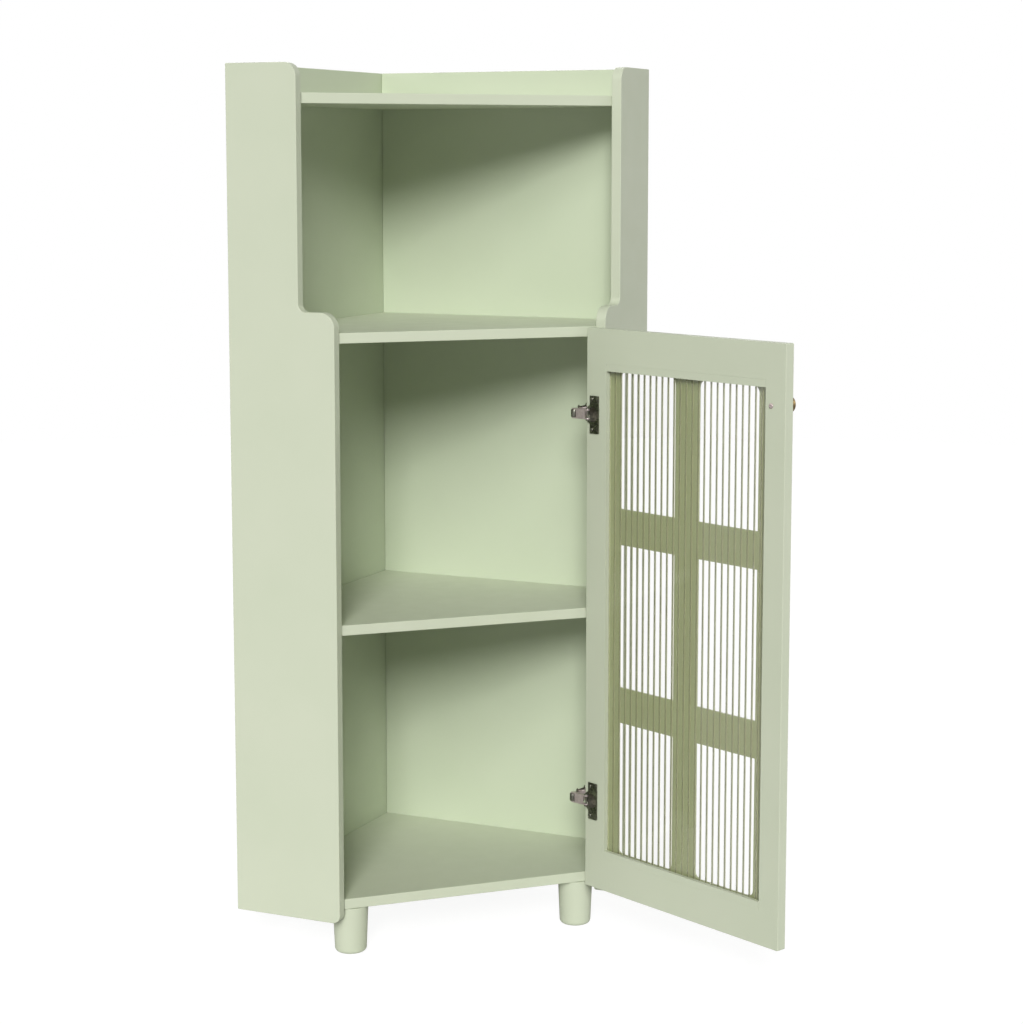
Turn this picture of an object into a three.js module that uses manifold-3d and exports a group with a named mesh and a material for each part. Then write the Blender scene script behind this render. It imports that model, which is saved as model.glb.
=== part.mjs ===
// Corner cupboard on three round legs. It stands in a room corner: two wings lie along
// the two walls, open bays face the room, and one glazed door closes the lower two bays.
// Millimetres, +Z up. The origin is on the floor at the centre of the rear leg's foot,
// and the room corner is behind it. The front looks along -Y, and the door stands open.
import * as THREE from 'three';
import Module from 'manifold-3d';
import { mergeVertices } from 'three/addons/utils/BufferGeometryUtils.js';

const wasm = await Module();
wasm.setup();

// Fits between the pieces.
const joint_gap = 0.3;
const pin_clearance = 0.1;
const cut_overrun = 1;

// The carcass in plan.
const board_thickness = 15;
const wall_side = 460;
const lower_wing_depth = 170;
const upper_wing_setback = 57;
const back_inset = 1;
const shelf_setback = 5;
const board_ease = 0.9;

// The carcass in height.
const leg_height = 70;
const wing_overhang = 16;
const bottom_bay_height = 387.5;
const middle_bay_height = 402;
const top_bay_height = 319;
const gallery_height = 41.5;

// The wings' front outline.
const step_above_middle_shelf = 28.9;
const step_hollow_radius = 11.5;
const step_round_radius = 22;
const wing_top_radius = 20;
const wing_foot_radius = 12;

// The turned legs.
const leg_top_radius = 26;
const leg_foot_radius = 23;
const leg_foot_round = 6;
const front_leg_wall_distance = 33;
const front_leg_front_distance = 24;
const rear_leg_wall_distance = 33;
const leg_bolt_radius = 4;
const leg_bolt_reach = 30;
const leg_bolt_in_board = 11;

// The door.
const door_thickness = 15;
const door_side_overlap = 0.55;
const door_top_drop = 0.5;
const door_closed_gap = 2;
const door_open_angle = THREE.MathUtils.degToRad(110);
const hinge_stile = 41;
const lock_stile = 36.5;
const door_rail = 61;
const pane_side_cover = 20;
const upright_bar = 47;
const cross_bar = 53;
const middle_window_share = 0.3474;
const window_drop = 1;
const window_radius = 10;
const window_layer = 4;
const strip_height = 10.5;
const strip_thickness = 6.6;
const door_ease = 1.2;

// The fluted glass.
const glass_thickness = 3.9;
const flute_height = 2.2;
const flute_width = 12;
const flute_crest_share = 0.64;

// The knob.
const knob_from_edge = 26;
const knob_below_top = 85;
const knob_base_radius = 7.5;
const knob_neck_radius = 5.5;
const knob_radius = 12;
const knob_reach = 24;
const knob_neck_share = 0.3;
const knob_edge_share = 0.72;
const knob_screw_radius = 2;
const knob_screw_depth = 9;
const screw_head_radius = 3.6;
const screw_head_height = 1.6;
const screw_head_rim = 0.6;

// The two concealed hinges, seen in plan.
const upper_hinge_drop = 126;
const lower_hinge_rise = 131.5;
const link_pin_radius = 1.3;
const pin_setback = 5.5;
const pin_rise = 3.4;
const arm_pin_along = 16;
const arm_pin_out = 27.2;
const link_swing = THREE.MathUtils.degToRad(49.3);
const link_height = 14.6;
const link_wall = 1.6;
const link_eye_radius = 3;
const link_web = 1.2;
const web_start = 6;
const web_stop = 3.6;

// The hinge cup and its flange.
const cup_radius = 11.5;
const cup_depth = 10.6;
const cup_wall = 1;
const cup_from_edge = 14.5;
const flange_near = 8;
const flange_far = 26.5;
const flange_length = 55;
const flange_thickness = 1.5;
const flange_corner = 2;
const neck_from_edge = 2;
const neck_tip_half = 9.6;
const neck_root_half = 14;
const lug_thickness = 1.7;
const lug_length = 7;
const cup_screw_from_edge = 11.9;
const cup_screw_spacing = 44.4;

// The hinge arm and its mounting plate.
const arm_height = 15;
const arm_depth = 9;
const arm_half_width = 4.5;
const arm_back_reach = 52;
const arm_foot_reach = 16;
const arm_knee_reach = 34;
const arm_fork_distance = 14;
const arm_wall = 1.6;
const tongue_height = 10.8;
const plate_length = 32;
const plate_height = 36;
const plate_thickness = 2.4;
const plate_front = 20;
const plate_corner = 4;
const plate_screw_spacing = 24;
const wood_screw_radius = 1.6;
const wood_screw_head_radius = 3.3;
const wood_screw_head_height = 1.4;
const wood_screw_length = 11;

const round_steps = 36;
const small_round_steps = 16;
const curve_steps = 6;
const flute_steps = 5;
const flute_fall_steps = 2;

// Heights and plan sizes that follow from the ones above.
const wing_foot = leg_height - wing_overhang;
const bottom_board_top = leg_height + board_thickness;
const lower_shelf_foot = bottom_board_top + bottom_bay_height;
const middle_shelf_foot = lower_shelf_foot + board_thickness + middle_bay_height;
const middle_shelf_top = middle_shelf_foot + board_thickness;
const top_board_foot = middle_shelf_top + top_bay_height;
const wing_top = top_board_foot + board_thickness + gallery_height;
const step_height = middle_shelf_top + step_above_middle_shelf;
const back_face = back_inset + board_thickness;
const wing_face = wall_side - board_thickness;
const upper_wing_depth = lower_wing_depth - upper_wing_setback;
const half_link = link_height / 2;
const lug_inner = half_link + joint_gap;
const bore_radius = cup_radius + joint_gap;
const bay_width = (wing_face - lower_wing_depth) * Math.SQRT2;
const door_width = bay_width + door_side_overlap * 2;
const door_height = middle_shelf_top - door_top_drop - leg_height;
const knob_height = door_height - knob_below_top;
const hinge_heights = {
  upper: leg_height + door_height - upper_hinge_drop,
  lower: leg_height + lower_hinge_rise,
};

// The two wall directions: left wall and right wall, both seen from the room corner.
const left_wall = new THREE.Vector3(-Math.SQRT1_2, -Math.SQRT1_2, 0);
const right_wall = new THREE.Vector3(Math.SQRT1_2, -Math.SQRT1_2, 0);
const up = new THREE.Vector3(0, 0, 1);

const sage_paint = { color: '#c9cdb6', roughness: 0.55, metalness: 0 };
const clear_glass = { color: '#e6ece2', roughness: 0.08, metalness: 0 };
const plated_steel = { color: '#8d8b83', roughness: 0.3, metalness: 1 };
const dark_steel = { color: '#5c5c50', roughness: 0.35, metalness: 1 };
const aged_brass = { color: '#9a7442', roughness: 0.35, metalness: 1 };

function makeMesh(name, geometry, look) {
  const mesh = new THREE.Mesh(geometry, new THREE.MeshStandardMaterial(look));
  mesh.name = name;
  return mesh;
}

// A point of the plan, given as distances along the left and the right wall.
function planPoint(along_left, along_right) {
  return new THREE.Vector3()
    .addScaledVector(left_wall, along_left)
    .addScaledVector(right_wall, along_right);
}

// Turns a mesh so that its x, y and z run along the three given directions.
function standAlong(mesh, x_way, y_way, z_way, place) {
  const basis = new THREE.Matrix4().makeBasis(x_way, y_way, z_way);
  mesh.quaternion.setFromRotationMatrix(basis);
  mesh.position.copy(place);
  return mesh;
}

function toSolid(geometry) {
  const bare = geometry.clone();
  bare.deleteAttribute('normal');
  bare.deleteAttribute('uv');
  const merged = mergeVertices(bare);
  const description = {
    numProp: 3,
    vertProperties: new Float32Array(merged.attributes.position.array),
    triVerts: new Uint32Array(merged.index.array),
  };
  return new wasm.Manifold(new wasm.Mesh(description));
}

function fromSolid(solid) {
  const found = solid.getMesh();
  const geometry = new THREE.BufferGeometry();
  const corners = new Float32Array(found.vertProperties);
  geometry.setAttribute('position', new THREE.BufferAttribute(corners, found.numProp));
  geometry.setIndex(new THREE.BufferAttribute(new Uint32Array(found.triVerts), 1));
  geometry.computeVertexNormals();
  return geometry;
}

function joinAll(first, others) {
  let solid = toSolid(first);
  for (const geometry of others) {
    solid = solid.add(toSolid(geometry));
  }
  return solid;
}

function cutAll(solid, cutters) {
  let left = solid;
  for (const geometry of cutters) {
    left = left.subtract(toSolid(geometry));
  }
  return left;
}

// A board of the given outline: its faces are flat and its edges are lightly rounded.
function easedBoard(shape, thickness, ease) {
  return new THREE.ExtrudeGeometry(shape, {
    depth: thickness - ease * 2,
    bevelEnabled: true,
    bevelThickness: ease,
    bevelSize: ease,
    bevelOffset: -ease,
    bevelSegments: 2,
    curveSegments: curve_steps,
  }).translate(0, 0, ease);
}

function plainBoard(shape, thickness) {
  return new THREE.ExtrudeGeometry(shape, {
    depth: thickness,
    bevelEnabled: false,
    curveSegments: curve_steps,
  });
}

// A rectangle whose corners are rounded by their own radii, from the low left one round.
function cornerRectangle(x_low, y_low, x_high, y_high, radii) {
  const [low_left, low_right, high_right, high_left] = radii;
  const shape = new THREE.Shape();
  shape.moveTo(x_low + low_left, y_low);
  shape.lineTo(x_high - low_right, y_low);
  if (low_right > 0) {
    shape.quadraticCurveTo(x_high, y_low, x_high, y_low + low_right);
  }
  shape.lineTo(x_high, y_high - high_right);
  if (high_right > 0) {
    shape.quadraticCurveTo(x_high, y_high, x_high - high_right, y_high);
  }
  shape.lineTo(x_low + high_left, y_high);
  if (high_left > 0) {
    shape.quadraticCurveTo(x_low, y_high, x_low, y_high - high_left);
  }
  shape.lineTo(x_low, y_low + low_left);
  if (low_left > 0) {
    shape.quadraticCurveTo(x_low, y_low, x_low + low_left, y_low);
  }
  return shape;
}

function plainRectangle(x_low, y_low, x_high, y_high) {
  return cornerRectangle(x_low, y_low, x_high, y_high, [0, 0, 0, 0]);
}

function polygon(points) {
  const shape = new THREE.Shape();
  shape.moveTo(points[0].x, points[0].y);
  for (const point of points.slice(1)) {
    shape.lineTo(point.x, point.y);
  }
  return shape;
}

// A round bar along +Z whose foot is at the given place.
function roundBar(radius, length, place, steps) {
  return new THREE.CylinderGeometry(radius, radius, length, steps)
    .rotateX(Math.PI / 2)
    .translate(place.x, place.y, place.z + length / 2);
}

// The wing's outline, x from the wall plane to the front and y up: a deep lower part,
// an S-shaped step above the middle shelf, and a shallow upper part.
function wingOutline() {
  const shape = new THREE.Shape();
  const hollow_end = upper_wing_depth + step_hollow_radius;
  const round_start = lower_wing_depth - step_round_radius;
  const crown_start = upper_wing_depth - wing_top_radius;
  const quarter = Math.PI / 2;
  shape.moveTo(0, wing_foot);
  shape.lineTo(lower_wing_depth - wing_foot_radius, wing_foot);
  shape.absarc(
    lower_wing_depth - wing_foot_radius,
    wing_foot + wing_foot_radius,
    wing_foot_radius,
    -quarter,
    0,
    false,
  );
  shape.lineTo(lower_wing_depth, step_height - step_round_radius);
  shape.absarc(round_start, step_height - step_round_radius, step_round_radius, 0, quarter, false);
  shape.lineTo(hollow_end, step_height);
  shape.absarc(
    hollow_end,
    step_height + step_hollow_radius,
    step_hollow_radius,
    -quarter,
    -Math.PI,
    true,
  );
  shape.lineTo(upper_wing_depth, wing_top - wing_top_radius);
  shape.absarc(crown_start, wing_top - wing_top_radius, wing_top_radius, 0, quarter, false);
  shape.lineTo(0, wing_top);
  return shape;
}

// Where a hinge's plate screws sit: distance from the wing's front end, and height.
function plateScrewPlaces() {
  const places = [];
  for (const hinge_height of Object.values(hinge_heights)) {
    for (const side of [-1, 1]) {
      const screw_height = hinge_height + (side * plate_screw_spacing) / 2;
      places.push({ back: plate_front + plate_length / 2, height: screw_height });
    }
  }
  return places;
}

function makeWings() {
  const left = makeMesh(
    'left_side_panel',
    easedBoard(wingOutline(), board_thickness, board_ease),
    sage_paint,
  );
  standAlong(left, right_wall, up, left_wall, planPoint(wing_face, 0));

  const pilot_radius = wood_screw_radius + joint_gap;
  const pilot_depth = wood_screw_length + joint_gap + cut_overrun;
  const pilots = plateScrewPlaces().map((place) => {
    const foot = new THREE.Vector3(
      lower_wing_depth - place.back,
      place.height,
      board_thickness + cut_overrun - pilot_depth,
    );
    return roundBar(pilot_radius, pilot_depth, foot, small_round_steps);
  });
  const right_board = toSolid(easedBoard(wingOutline(), board_thickness, board_ease));
  const drilled = fromSolid(cutAll(right_board, pilots));
  const right = makeMesh('right_side_panel', drilled, sage_paint);
  const inward = right_wall.clone().negate();
  standAlong(right, left_wall, up, inward, planPoint(0, wall_side));
  return [left, right];
}

function makeBacks() {
  const far_end = wing_face - joint_gap;
  const near_end = back_face + joint_gap;
  const left = makeMesh(
    'left_back_panel',
    easedBoard(
      plainRectangle(back_inset, wing_foot, far_end, wing_top),
      board_thickness,
      board_ease,
    ),
    sage_paint,
  );
  standAlong(left, left_wall, up, right_wall.clone().negate(), planPoint(0, back_face));
  const right = makeMesh(
    'right_back_panel',
    easedBoard(
      plainRectangle(near_end, wing_foot, far_end, wing_top),
      board_thickness,
      board_ease,
    ),
    sage_paint,
  );
  standAlong(right, right_wall, up, left_wall, planPoint(back_inset, 0));
  return [left, right];
}

// The five-sided board that fills the corner behind a straight front edge.
function cornerBoard(wing_depth) {
  const near_side = back_face + joint_gap;
  const far_side = wing_face - joint_gap;
  const front_sum = wing_face + wing_depth - shelf_setback * Math.SQRT2;
  return polygon([
    planPoint(near_side, near_side),
    planPoint(far_side, near_side),
    planPoint(far_side, front_sum - far_side),
    planPoint(front_sum - far_side, far_side),
    planPoint(near_side, far_side),
  ]);
}

function frontLegPlace(side) {
  const front_edge = (wing_face + lower_wing_depth) * Math.SQRT1_2 - shelf_setback;
  const leg_front = front_edge - front_leg_front_distance;
  const wing_line = (wing_face - front_leg_wall_distance) * Math.SQRT2;
  return new THREE.Vector3(side * (wing_line - leg_front), -leg_front, 0);
}

function legPlaces() {
  const rear = back_face + rear_leg_wall_distance;
  return {
    front_left_leg: frontLegPlace(-1),
    front_right_leg: frontLegPlace(1),
    rear_leg: planPoint(rear, rear),
  };
}

function makeBoards() {
  const boards = [
    { name: 'bottom_board', foot: leg_height, depth: lower_wing_depth },
    { name: 'lower_shelf', foot: lower_shelf_foot, depth: lower_wing_depth },
    { name: 'middle_shelf', foot: middle_shelf_foot, depth: lower_wing_depth },
    { name: 'top_board', foot: top_board_foot, depth: upper_wing_depth },
  ];
  return boards.map((board) => {
    let geometry = easedBoard(cornerBoard(board.depth), board_thickness, board_ease);
    if (board.foot === leg_height) {
      const sockets = Object.values(legPlaces()).map((place) => {
        const foot = new THREE.Vector3(place.x, place.y, -cut_overrun);
        const depth = leg_bolt_in_board + joint_gap + cut_overrun;
        return roundBar(leg_bolt_radius + joint_gap, depth, foot, small_round_steps);
      });
      geometry = fromSolid(cutAll(toSolid(geometry), sockets));
    }
    const mesh = makeMesh(board.name, geometry, sage_paint);
    mesh.position.z = board.foot;
    return mesh;
  });
}

// A leg is turned round its own axis, and a blind hole in its top holds the bolt.
function makeLegs() {
  const legs = [];
  const leg_top = leg_height - joint_gap;
  const profile = [new THREE.Vector2(0, 0)];
  for (let step = 0; step <= curve_steps; step += 1) {
    const turn = (step / curve_steps) * (Math.PI / 2);
    profile.push(
      new THREE.Vector2(
        leg_foot_radius - leg_foot_round + leg_foot_round * Math.sin(turn),
        leg_foot_round - leg_foot_round * Math.cos(turn),
      ),
    );
  }
  const hole_radius = leg_bolt_radius + joint_gap;
  const hole_foot = leg_top - leg_bolt_reach - joint_gap;
  profile.push(new THREE.Vector2(leg_top_radius, leg_top));
  profile.push(new THREE.Vector2(hole_radius, leg_top));
  profile.push(new THREE.Vector2(hole_radius, hole_foot));
  profile.push(new THREE.Vector2(0, hole_foot));
  for (const [name, place] of Object.entries(legPlaces())) {
    const turned = new THREE.LatheGeometry(profile, round_steps).rotateX(Math.PI / 2);
    const leg = makeMesh(name, turned, sage_paint);
    leg.position.copy(place);
    const bolt_length = leg_bolt_reach + joint_gap + leg_bolt_in_board;
    const bolt_place = new THREE.Vector3(0, 0, leg_top - leg_bolt_reach);
    const bar = roundBar(leg_bolt_radius, bolt_length, bolt_place, small_round_steps);
    const bolt = makeMesh(`${name}_bolt`, bar, plated_steel);
    bolt.position.copy(place);
    legs.push(leg, bolt);
  }
  return legs;
}

// The door in its own frame: x from the hinge edge, y outward from the inner face, z up.
// An outline drawn in x and z becomes a layer between two depths.
function doorLayer(shape, depth_from, depth_to, ease) {
  const thickness = depth_to - depth_from;
  const flat = ease > 0 ? easedBoard(shape, thickness, ease) : plainBoard(shape, thickness);
  return flat.rotateX(Math.PI / 2).translate(0, depth_to, 0);
}

// A round bar across the door, from one depth to another.
function doorBar(radius, depth_from, depth_to, x, z, steps) {
  return new THREE.CylinderGeometry(radius, radius, depth_to - depth_from, steps)
    .translate(x, (depth_from + depth_to) / 2, z);
}

// The six windows: two columns and three rows. Only the outer corners are rounded.
function windowShapes() {
  const opening_left = hinge_stile;
  const opening_right = door_width - lock_stile;
  const middle = (opening_left + opening_right) / 2;
  const columns = [
    [opening_left + pane_side_cover, middle - upright_bar / 2],
    [middle + upright_bar / 2, opening_right - pane_side_cover],
  ];
  const centre = door_height / 2 - window_drop;
  const open_height = door_height - door_rail * 2 - cross_bar * 2;
  const half_middle = (open_height * middle_window_share) / 2;
  const rows = [
    [door_rail, centre - half_middle - cross_bar],
    [centre - half_middle, centre + half_middle],
    [centre + half_middle + cross_bar, door_height - door_rail],
  ];
  const shapes = [];
  for (const [x_low, x_high] of columns) {
    rows.forEach(([z_low, z_high], row) => {
      const low = row === 0 ? window_radius : 0;
      const high = row === rows.length - 1 ? window_radius : 0;
      shapes.push(cornerRectangle(x_low, z_low, x_high, z_high, [low, low, high, high]));
    });
  }
  return shapes;
}

// The hinges' heights above the door's foot.
function cupHeights() {
  return {
    upper: hinge_heights.upper - leg_height,
    lower: hinge_heights.lower - leg_height,
  };
}

function cupScrewPlaces() {
  const places = {};
  for (const [name, height] of Object.entries(cupHeights())) {
    places[`${name}_cup_screw_low`] = height - cup_screw_spacing / 2;
    places[`${name}_cup_screw_high`] = height + cup_screw_spacing / 2;
  }
  return places;
}

function makeDoorPanel() {
  const pocket_depth = door_thickness - window_layer;
  const outline = plainRectangle(0, 0, door_width, door_height);
  const pocket = plainRectangle(
    hinge_stile,
    door_rail - strip_height,
    door_width - lock_stile,
    door_height - door_rail + strip_height,
  );
  const knob_x = door_width - knob_from_edge;
  const cutters = [
    doorLayer(pocket, -cut_overrun, pocket_depth, 0),
    doorBar(
      knob_screw_radius + joint_gap,
      -cut_overrun,
      door_thickness + cut_overrun,
      knob_x,
      knob_height,
      small_round_steps,
    ),
  ];
  for (const shape of windowShapes()) {
    cutters.push(doorLayer(shape, pocket_depth - cut_overrun, door_thickness + cut_overrun, 0));
  }
  const bore_depth = cup_depth + joint_gap;
  for (const height of Object.values(cupHeights())) {
    cutters.push(
      doorBar(bore_radius, -cut_overrun, bore_depth, cup_from_edge, height, round_steps),
    );
  }
  const pilot_radius = wood_screw_radius + joint_gap;
  for (const height of Object.values(cupScrewPlaces())) {
    cutters.push(
      doorBar(
        pilot_radius,
        -cut_overrun,
        wood_screw_length,
        cup_screw_from_edge,
        height,
        small_round_steps,
      ),
    );
  }
  const blank = doorLayer(outline, 0, door_thickness, door_ease);
  return makeMesh('door_panel', fromSolid(cutAll(toSolid(blank), cutters)), sage_paint);
}

// A flute leans towards the lock stile: it climbs slowly to its crest and drops in a short fall.
function fluteProfile() {
  const rise = Array.from({ length: flute_steps }, (_, step) => {
    const turn = step / flute_steps;
    return [turn * flute_crest_share, Math.sin((Math.PI / 2) * turn)];
  });
  const fall = Array.from({ length: flute_fall_steps }, (_, step) => {
    const turn = step / flute_fall_steps;
    return [flute_crest_share + turn * (1 - flute_crest_share), Math.cos((Math.PI / 2) * turn)];
  });
  return [...rise, ...fall];
}

// Fluted glass: flat towards the room, with upright flutes side by side on the outer face.
function makeGlass() {
  const x_low = hinge_stile + joint_gap;
  const x_high = door_width - lock_stile - joint_gap;
  const crest = door_thickness - window_layer - joint_gap;
  const flat = crest - glass_thickness;
  const root = crest - flute_height;
  const flutes = Math.round((x_high - x_low) / flute_width);
  const pitch = (x_high - x_low) / flutes;
  const shape = new THREE.Shape();
  shape.moveTo(x_low, flat);
  shape.lineTo(x_high, flat);
  shape.lineTo(x_high, root);
  const profile = fluteProfile().reverse();
  for (let flute = flutes - 1; flute >= 0; flute -= 1) {
    for (const [across, height_share] of profile) {
      shape.lineTo(x_low + (flute + across) * pitch, root + height_share * flute_height);
    }
  }
  const z_low = door_rail - strip_height + joint_gap;
  const length = door_height - (door_rail - strip_height) * 2 - joint_gap * 2;
  const pane = plainBoard(shape, length).translate(0, 0, z_low);
  return makeMesh('fluted_glass', pane, clear_glass);
}

// Two flat strips hold the glass in its pocket, one at the top and one at the bottom.
function makeStrips() {
  const x_low = hinge_stile + joint_gap;
  const x_high = door_width - lock_stile - joint_gap;
  const feet = {
    lower_glass_strip: door_rail - strip_height + joint_gap,
    upper_glass_strip: door_height - door_rail,
  };
  const height = strip_height - joint_gap;
  return Object.entries(feet).map(([name, foot]) => {
    const shape = plainRectangle(x_low, foot, x_high, foot + height);
    return makeMesh(name, doorLayer(shape, 0, strip_thickness, 0), sage_paint);
  });
}

// The knob is turned: a base, a narrow neck and a round head with a softly domed face.
function makeKnob() {
  const base = door_thickness + joint_gap;
  const top = base + knob_reach;
  const bore_end = door_thickness + knob_screw_depth + joint_gap;
  const bore = knob_screw_radius + joint_gap;
  const neck = base + knob_reach * knob_neck_share;
  const edge = base + knob_reach * knob_edge_share;
  const outline = new THREE.Path();
  outline.moveTo(0, bore_end);
  outline.lineTo(bore, bore_end);
  outline.lineTo(bore, base);
  outline.lineTo(knob_base_radius, base);
  outline.quadraticCurveTo(knob_neck_radius, base, knob_neck_radius, neck);
  outline.quadraticCurveTo(knob_neck_radius, (neck + edge) / 2, knob_radius, edge);
  outline.quadraticCurveTo(knob_radius, top, 0, top);
  const points = outline.getPoints(curve_steps);
  const knob = makeMesh('knob', new THREE.LatheGeometry(points, round_steps), aged_brass);
  knob.position.set(door_width - knob_from_edge, 0, knob_height);
  return knob;
}

// A screw along +Y: a low domed head outside the surface and a plain shank behind it.
function makeScrew(name, head_radius, head_height, shank_radius, shank_length, look) {
  const outline = new THREE.Path();
  outline.moveTo(0, -head_height);
  outline.quadraticCurveTo(head_radius, -head_height, head_radius, -screw_head_rim);
  outline.lineTo(head_radius, 0);
  outline.lineTo(shank_radius, 0);
  outline.lineTo(shank_radius, shank_length);
  outline.lineTo(0, shank_length);
  const points = outline.getPoints(curve_steps);
  return makeMesh(name, new THREE.LatheGeometry(points, small_round_steps), look);
}

function makeKnobScrew() {
  const screw = makeScrew(
    'knob_screw',
    screw_head_radius,
    screw_head_height,
    knob_screw_radius,
    door_thickness + knob_screw_depth + joint_gap,
    plated_steel,
  );
  screw.position.set(door_width - knob_from_edge, -joint_gap, knob_height);
  return screw;
}

// The cup's flange: a long plate whose neck runs to the door's edge in two wings.
function flangeOutline() {
  const half = flange_length / 2;
  const slot = lug_inner;
  const shape = new THREE.Shape();
  shape.moveTo(flange_near, -half);
  shape.lineTo(flange_far - flange_corner, -half);
  shape.quadraticCurveTo(flange_far, -half, flange_far, -half + flange_corner);
  shape.lineTo(flange_far, half - flange_corner);
  shape.quadraticCurveTo(flange_far, half, flange_far - flange_corner, half);
  shape.lineTo(flange_near, half);
  shape.lineTo(flange_near, neck_root_half);
  shape.lineTo(neck_from_edge, neck_tip_half);
  shape.lineTo(neck_from_edge, slot);
  shape.lineTo(flange_near, slot);
  shape.lineTo(flange_near, -slot);
  shape.lineTo(neck_from_edge, -slot);
  shape.lineTo(neck_from_edge, -neck_tip_half);
  shape.lineTo(flange_near, -neck_root_half);
  return shape;
}

// One lug of the neck: it stands on the flange and holds the end of the link's pin.
function lugSolid(side) {
  const crest = pin_setback - link_eye_radius;
  const foot = -joint_gap - flange_thickness;
  const shape = new THREE.Shape();
  shape.moveTo(crest, foot + flange_thickness / 2);
  shape.lineTo(crest, -pin_rise);
  shape.absarc(pin_setback, -pin_rise, link_eye_radius, Math.PI, 0, false);
  shape.lineTo(crest + lug_length, foot + flange_thickness / 2);
  const from = side > 0 ? lug_inner : -lug_inner - lug_thickness;
  return plainBoard(shape, lug_thickness).translate(0, 0, from);
}

function makeCup(name, height) {
  const sheet_far = -joint_gap;
  const sheet_near = sheet_far - flange_thickness;
  const flange = doorLayer(flangeOutline(), sheet_near, sheet_far, 0);
  const cup = doorBar(cup_radius, sheet_near, cup_depth, cup_from_edge, 0, round_steps);
  const hollow = doorBar(
    cup_radius - cup_wall,
    sheet_near - cut_overrun,
    cup_depth - cup_wall,
    cup_from_edge,
    0,
    round_steps,
  );
  const slot = doorLayer(
    plainRectangle(-cut_overrun, -lug_inner, flange_near + cut_overrun, lug_inner),
    sheet_near - cut_overrun,
    sheet_far + cut_overrun,
    0,
  );
  const holes = [-1, 1].map((side) =>
    doorBar(
      wood_screw_radius + joint_gap,
      sheet_near - cut_overrun,
      sheet_far + cut_overrun,
      cup_screw_from_edge,
      (side * cup_screw_spacing) / 2,
      small_round_steps,
    ),
  );
  const pressed = cutAll(joinAll(flange, [cup]), [hollow, slot, ...holes]);
  const pin_foot = new THREE.Vector3(pin_setback, -pin_rise, -lug_inner - lug_thickness);
  const pin_length = (lug_inner + lug_thickness) * 2;
  const pin = roundBar(link_pin_radius, pin_length, pin_foot, small_round_steps);
  const whole = pressed.add(joinAll(lugSolid(1), [lugSolid(-1), pin]));
  const mesh = makeMesh(name, fromSolid(whole), dark_steel);
  mesh.position.z = height;
  return mesh;
}

function makeCupScrews() {
  return Object.entries(cupScrewPlaces()).map(([name, height]) => {
    const screw = makeScrew(
      name,
      wood_screw_head_radius,
      wood_screw_head_height,
      wood_screw_radius,
      wood_screw_length,
      plated_steel,
    );
    const face = -joint_gap * 2 - flange_thickness;
    screw.position.set(cup_screw_from_edge, face, height);
    return screw;
  });
}

// The hinge in plan. A link turns on the arm's pin, and the door turns on the link's
// far pin, so both pins stay in their holes from closed to open.
function hingePlan() {
  const wing_corner = planPoint(lower_wing_depth, wing_face);
  const arm_pin = wing_corner
    .clone()
    .addScaledVector(left_wall, arm_pin_along)
    .addScaledVector(right_wall, -arm_pin_out);
  const closed_corner = wing_corner
    .clone()
    .add(new THREE.Vector3(door_side_overlap, -door_closed_gap, 0));
  const closed_pin = closed_corner
    .clone()
    .add(new THREE.Vector3(-pin_setback, pin_rise, 0));
  const closed_link = closed_pin.clone().sub(arm_pin);
  const open_link = closed_link.clone().applyAxisAngle(up, -link_swing);
  const open_pin = arm_pin.clone().add(open_link);
  const corner_from_pin = closed_corner
    .clone()
    .sub(closed_pin)
    .applyAxisAngle(up, door_open_angle);
  const open_corner = open_pin.clone().add(corner_from_pin);
  return { wing_corner, arm_pin, open_link, open_pin, open_corner };
}

// The link lies along its own +X from the arm's pin to the door's pin.
function makeLink(name, plan, height) {
  const length = plan.open_link.length();
  const cheek = new THREE.Shape();
  cheek.absarc(length, 0, link_eye_radius, -Math.PI / 2, Math.PI / 2, false);
  cheek.lineTo(0, link_eye_radius);
  cheek.absarc(0, 0, link_eye_radius, Math.PI / 2, (Math.PI * 3) / 2, false);
  for (const x of [0, length]) {
    const hole = new THREE.Path();
    hole.absarc(x, 0, link_pin_radius + pin_clearance, 0, Math.PI * 2, true);
    cheek.holes.push(hole);
  }
  const cheek_steps = { depth: link_wall, bevelEnabled: false, curveSegments: small_round_steps };
  const low = new THREE.ExtrudeGeometry(cheek, cheek_steps).translate(0, 0, -half_link);
  const high = new THREE.ExtrudeGeometry(cheek, cheek_steps)
    .translate(0, 0, half_link - link_wall);
  const web_shape = plainRectangle(
    web_start,
    -link_eye_radius,
    length - web_stop,
    -link_eye_radius + link_web,
  );
  const web = plainBoard(web_shape, link_height - link_wall)
    .translate(0, 0, -(link_height - link_wall) / 2);
  const mesh = makeMesh(name, fromSolid(joinAll(web, [low, high])), plated_steel);
  mesh.position.set(plan.arm_pin.x, plan.arm_pin.y, height);
  mesh.rotation.z = Math.atan2(plan.open_link.y, plan.open_link.x);
  return mesh;
}

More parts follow.
